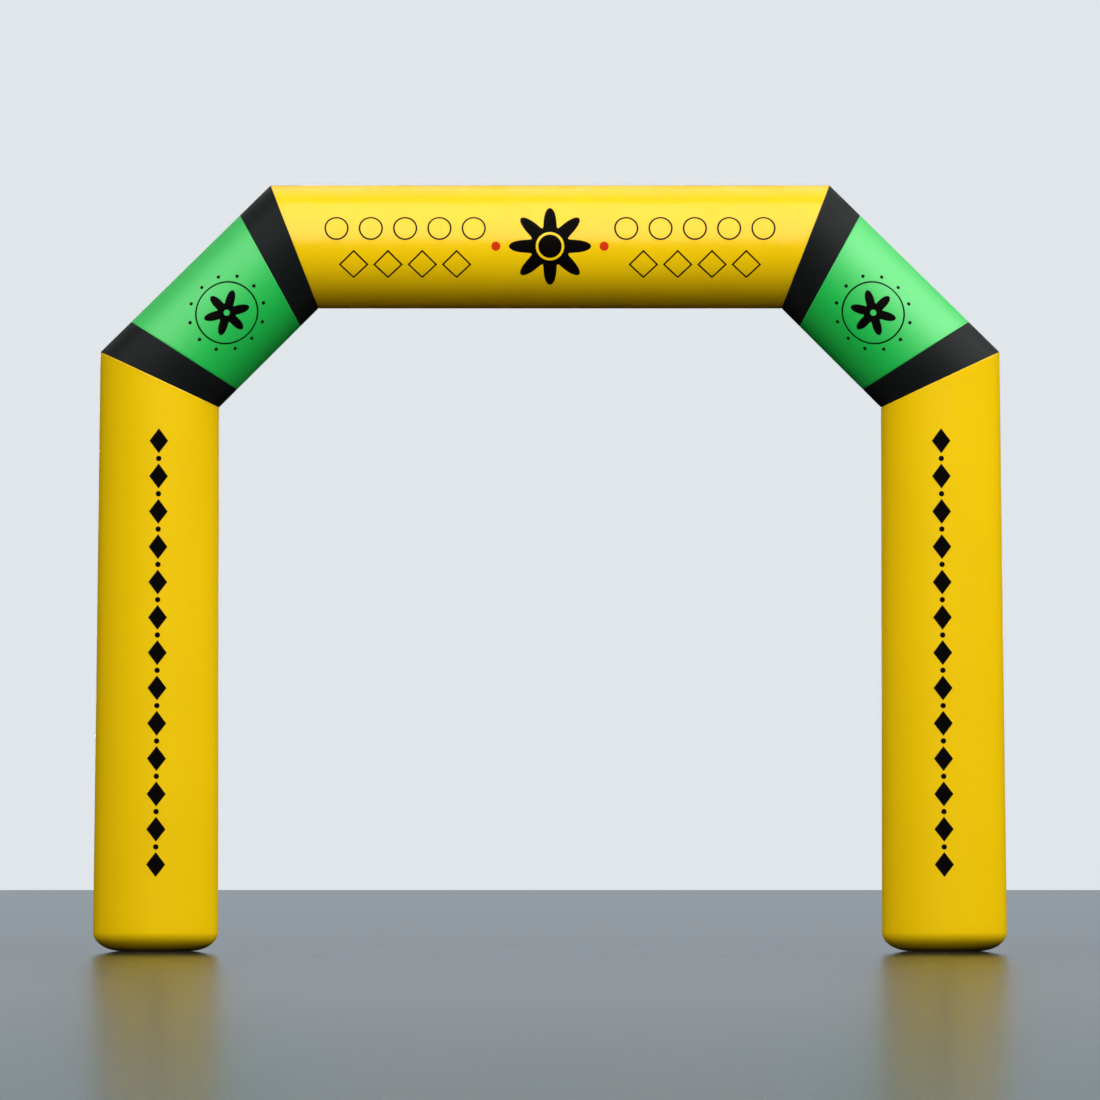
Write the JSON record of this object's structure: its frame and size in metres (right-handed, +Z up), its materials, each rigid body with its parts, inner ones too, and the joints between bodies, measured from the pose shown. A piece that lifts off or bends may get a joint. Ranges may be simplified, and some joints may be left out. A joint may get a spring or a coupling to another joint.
{
  "type": "inflatable arch",
  "caption": "Free-standing air-filled cloth arch: a mitred tube with rounded feet, sloping shoulders and a level header, to walk or run under at an event.",
  "frame": {"origin": "on the ground midway between the two feet, under the middle of the header", "axes": "+X along the span towards the right foot, +Y through the arch from its front to its back, +Z up"},
  "size_m": [6, 0.82, 5.027],
  "materials": {
    "yellow_cloth": "coated polyester, golden yellow, satin, with black print",
    "green_cloth": "coated polyester, light green, satin, with black print",
    "black_cloth": "coated polyester, black, satin"
  },
  "bodies": {
    "root": {"leg_left": "yellow_cloth", "knee_band_left": "black_cloth", "shoulder_panel_left": "green_cloth", "crown_band_left": "black_cloth", "header": "yellow_cloth", "crown_band_right": "black_cloth", "shoulder_panel_right": "green_cloth", "knee_band_right": "black_cloth", "leg_right": "yellow_cloth"}
  },
  "joints": []
}
